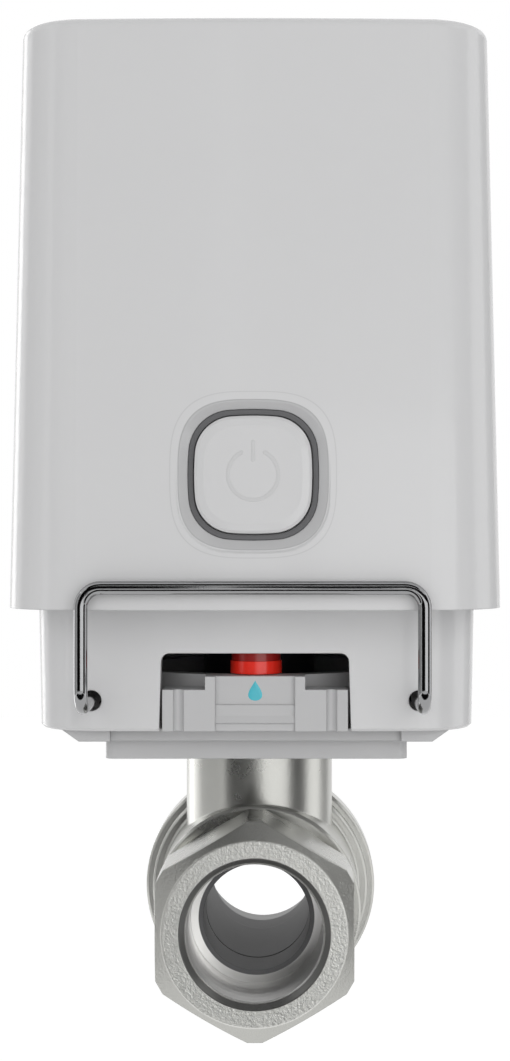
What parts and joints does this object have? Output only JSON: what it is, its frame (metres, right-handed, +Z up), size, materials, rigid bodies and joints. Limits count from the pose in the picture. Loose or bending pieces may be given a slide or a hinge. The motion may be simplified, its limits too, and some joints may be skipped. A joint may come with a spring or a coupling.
{
  "type": "motorised ball valve",
  "caption": "Light grey motor drive with a push button and a red position marker, locked by a wire onto a nickel-plated half-inch ball valve.",
  "frame": {"origin": "pipe axis where the thread of the front port starts", "axes": "+Z up along the stem, -Y out of the front port, +X to the right seen from the front"},
  "size_m": [0.0678, 0.0707, 0.1398],
  "materials": {
    "plated_brass": "satin nickel plate on brass",
    "bright_steel": "polished",
    "light_shell": "glossy light grey moulding",
    "bracket_plastic": "satin light grey moulding",
    "red_plastic": "glossy red",
    "dark_plastic": "matt black",
    "ring_plastic": "smoked translucent",
    "white_seat": "smooth white fluoropolymer",
    "natural_gear": "natural acetal",
    "black_rubber": "matt",
    "steel": "zinc plated",
    "bronze": "sintered bronze",
    "board_green": "solder mask",
    "copper": "etched copper",
    "cell_wrap": "printed film left plain",
    "clear_lens": "milky lens"
  },
  "bodies": {
    "valve_and_drive": {"valve_body": "plated_brass", "end_connector": "plated_brass", "front_seat": "white_seat", "rear_seat": "white_seat", "connector_seal": "black_rubber", "neck_nut": "steel", "neck_seal": "black_rubber", "valve_bracket": "bracket_plastic", "base_housing": "light_shell", "cover_seal": "black_rubber", "output_bush": "bronze", "gear_axles": "steel", "gear_case": "dark_plastic", "case_lid": "dark_plastic", "base_screws": "steel", "lid_screws": "steel", "end_switches": "dark_plastic", "drive_motor": "steel", "circuit_board": "board_green", "board_switch": "dark_plastic", "board_screws": "steel", "status_lights": "clear_lens", "board_antenna": "copper", "battery_cells": "cell_wrap", "battery_holder": "dark_plastic", "contact_leaves": "steel", "contact_pads": "steel"},
    "turning_stem": {"ball": "bright_steel", "stem": "steel", "stem_rings": "black_rubber", "stem_washer": "white_seat", "output_shaft": "dark_plastic", "output_gear": "steel", "position_cam": "dark_plastic", "indicator_disc": "dark_plastic", "indicator_marker": "red_plastic"},
    "second_gear_body": {"second_gear": "natural_gear"},
    "first_gear_body": {"first_gear": "natural_gear"},
    "motor_shaft_body": {"motor_pinion": "bronze"},
    "cover_body": {"outer_cover": "light_shell", "light_ring": "ring_plastic", "button_retainer": "dark_plastic"},
    "button_body": {"function_button": "light_shell"},
    "wire_body": {"wire_lock": "bright_steel"}
  },
  "joints": [
    {"name": "valve_turn", "type": "hinge", "parent": "valve_and_drive", "child": "turning_stem", "pos_m": [0, 0.0266, 0.04], "axis": [0, 0, 1], "range_deg": [0, 90]},
    {"name": "second_gear_spin", "type": "hinge", "parent": "valve_and_drive", "child": "second_gear_body", "pos_m": [0.01074, 0.04252, 0.054], "axis": [0, 0, 1], "range_deg": [-275, 5]},
    {"name": "first_gear_spin", "type": "hinge", "parent": "valve_and_drive", "child": "first_gear_body", "pos_m": [-0.00365, 0.04302, 0.058], "axis": [0, 0, 1], "range_deg": [-15, 825]},
    {"name": "motor_spin", "type": "hinge", "parent": "valve_and_drive", "child": "motor_shaft_body", "pos_m": [-0.01493, 0.03892, 0.06], "axis": [0, 0, 1], "range_deg": [-2450, 20]},
    {"name": "cover_lift", "type": "slide", "parent": "valve_and_drive", "child": "cover_body", "axis": [0, 0, 1], "range_m": [0, 0.085]},
    {"name": "button_press", "type": "slide", "parent": "cover_body", "child": "button_body", "axis": [0, 1, 0], "range_m": [0, 0.0005], "stiffness_N_per_m": 2500},
    {"name": "wire_pull", "type": "slide", "parent": "valve_and_drive", "child": "wire_body", "axis": [0, -1, 0], "range_m": [0, 0.05]}
  ],
  "couplings": [
    {"joint": "second_gear_spin", "follows": "valve_turn", "ratio": -3},
    {"joint": "first_gear_spin", "follows": "valve_turn", "ratio": 9},
    {"joint": "motor_spin", "follows": "valve_turn", "ratio": -27}
  ]
}
